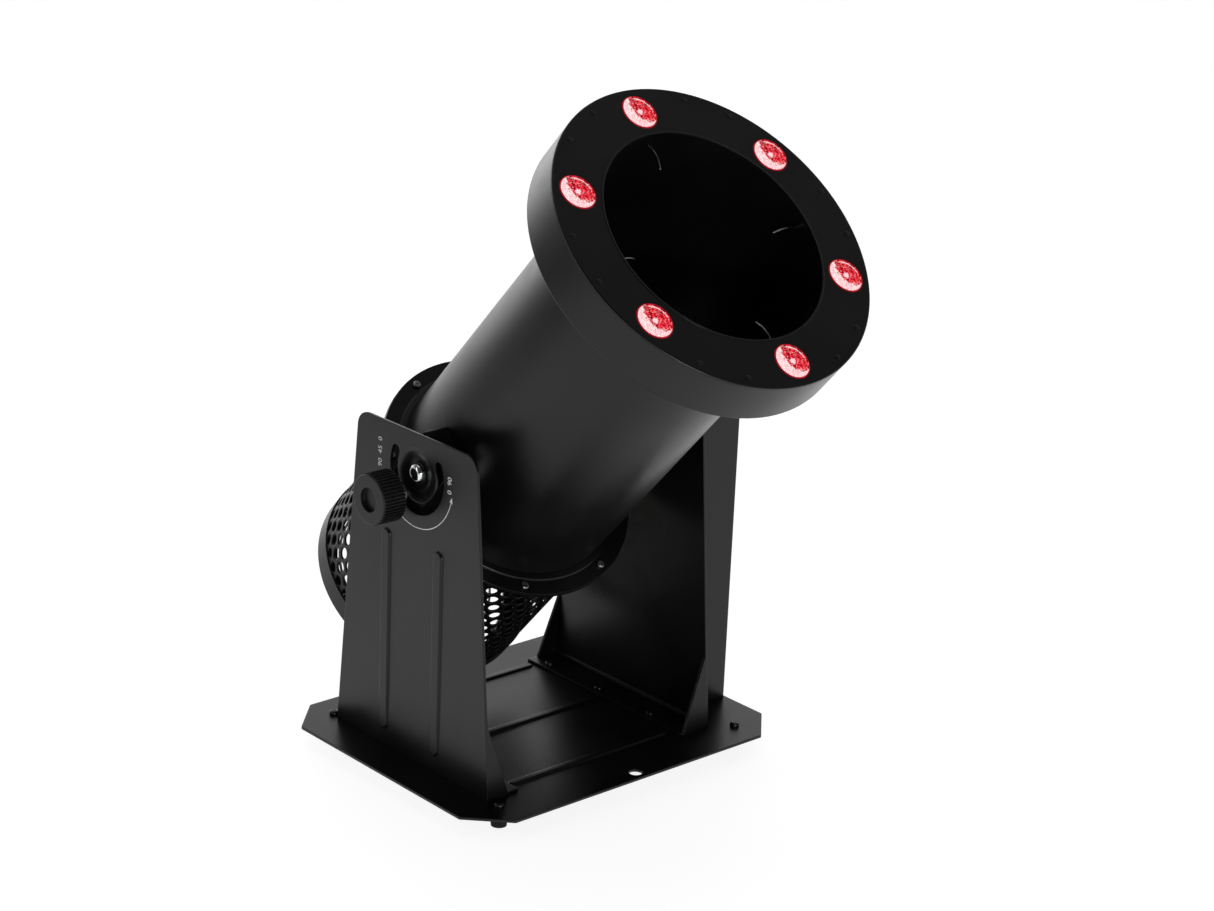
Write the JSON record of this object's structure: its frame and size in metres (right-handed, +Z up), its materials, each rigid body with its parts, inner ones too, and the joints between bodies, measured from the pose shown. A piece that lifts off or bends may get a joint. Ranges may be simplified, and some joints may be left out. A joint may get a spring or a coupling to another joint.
{
  "type": "stage effect machine",
  "caption": "Stage effect blower with a tilting barrel and a ring of red lamps at the mouth, carried between two side plates on a flat base.",
  "frame": {"origin": "on the floor under the middle of the whole machine, barrel raised to its rest angle", "axes": "+Z up, +X along the tilt axis towards the control box, -Y the way the barrel points"},
  "size_m": [0.44, 0.6827, 0.7612],
  "materials": {
    "powder_black": "black powder coat, fine texture, semi-gloss",
    "hub_black": "black enamel, glossy",
    "rubber_black": "matte moulded rubber",
    "zinc_screw": "bright zinc plate",
    "black_screw": "blackened steel",
    "polished_bolt": "polished chrome plate",
    "steel_parts": "plain machined steel",
    "clip_wire": "bright spring wire",
    "spacer_nylon": "turned nylon washer",
    "bush_bronze": "plain bearing bronze",
    "brass_fitting": "turned brass",
    "valve_body": "cast, anodised",
    "knob_plastic": "moulded black nylon",
    "lens_red": "clear textured lens over a red lamp",
    "holder_white": "moulded reflector cup",
    "led_metal": "metal-core board",
    "panel_print": "printed overlay film",
    "display_glass": "tinted window",
    "board_green": "circuit board",
    "post_metal": "turned posts",
    "socket_blue": "moulded, blue",
    "socket_grey": "moulded, grey",
    "socket_black": "moulded, black",
    "switch_red": "moulded, red",
    "supply_case": "bare sheet case",
    "button_grey": "moulded, grey"
  },
  "bodies": {
    "stand": {"base_plate": "powder_black", "left_side_plate": "powder_black", "right_side_plate": "powder_black", "rubber_feet": "rubber_black", "foot_screws": "black_screw", "foot_nuts": "zinc_screw", "bracket_screws": "black_screw", "bracket_nuts": "zinc_screw", "left_bush": "bush_bronze", "right_bush": "bush_bronze", "control_box": "powder_black", "box_cover": "powder_black", "box_screws": "black_screw", "display_bezel": "panel_print", "display_window": "display_glass", "control_board": "board_green", "board_standoffs": "post_metal", "power_inlet": "socket_blue", "power_outlet": "socket_grey", "data_inlet": "socket_black", "data_outlet": "socket_black", "fuse_holder": "socket_black", "switch_frame": "socket_black", "power_supply": "supply_case"},
    "barrel": {"barrel_tube": "powder_black", "barrel_flange": "powder_black", "screen_flange": "powder_black", "flange_screws": "zinc_screw", "flange_nuts": "zinc_screw", "intake_screen": "powder_black", "rear_rim": "powder_black", "rear_guard": "steel_parts", "light_ring_front": "powder_black", "light_ring_shell": "powder_black", "ring_spacers": "steel_parts", "ring_screws": "powder_black", "led_boards": "led_metal", "led_holders": "holder_white", "led_lenses": "lens_red", "left_trunnion": "powder_black", "right_trunnion": "powder_black", "right_spacer": "spacer_nylon", "left_hub_washer": "hub_black", "left_pivot_bolt": "polished_bolt", "right_pivot_nut": "steel_parts", "nozzle_spider": "steel_parts", "gas_nozzle": "brass_fitting", "solenoid_valve": "valve_body", "gas_pipe": "brass_fitting", "gas_inlet": "brass_fitting", "muzzle_clips": "clip_wire"},
    "knob": {"lock_knob": "knob_plastic", "lock_stud": "steel_parts", "lock_washer": "steel_parts"},
    "rocker": {"power_switch": "switch_red"},
    "button_1": {"menu_button_1": "button_grey"},
    "button_2": {"menu_button_2": "button_grey"},
    "button_3": {"menu_button_3": "button_grey"},
    "button_4": {"menu_button_4": "button_grey"}
  },
  "joints": [
    {"name": "barrel_tilt", "type": "hinge", "parent": "stand", "child": "barrel", "pos_m": [-0.015, 0.0542, 0.35], "axis": [1, 0, 0], "range_deg": [-155, 71]},
    {"name": "knob_turn", "type": "hinge", "parent": "barrel", "child": "knob", "pos_m": [-0.19, 0.0803, 0.32102], "axis": [1, 0, 0], "continuous": true},
    {"name": "switch_rock", "type": "hinge", "parent": "stand", "child": "rocker", "pos_m": [0.182, 0.1452, 0.044], "axis": [0, 0, 1], "range_deg": [-16, 0]},
    {"name": "button_1_press", "type": "slide", "parent": "stand", "child": "button_1", "axis": [-1, 0, 0], "range_m": [0, 0.0012], "stiffness_N_per_m": 600, "springref_m": -0.0012},
    {"name": "button_2_press", "type": "slide", "parent": "stand", "child": "button_2", "axis": [-1, 0, 0], "range_m": [0, 0.0012], "stiffness_N_per_m": 600, "springref_m": -0.0012},
    {"name": "button_3_press", "type": "slide", "parent": "stand", "child": "button_3", "axis": [-1, 0, 0], "range_m": [0, 0.0012], "stiffness_N_per_m": 600, "springref_m": -0.0012},
    {"name": "button_4_press", "type": "slide", "parent": "stand", "child": "button_4", "axis": [-1, 0, 0], "range_m": [0, 0.0012], "stiffness_N_per_m": 600, "springref_m": -0.0012}
  ]
}
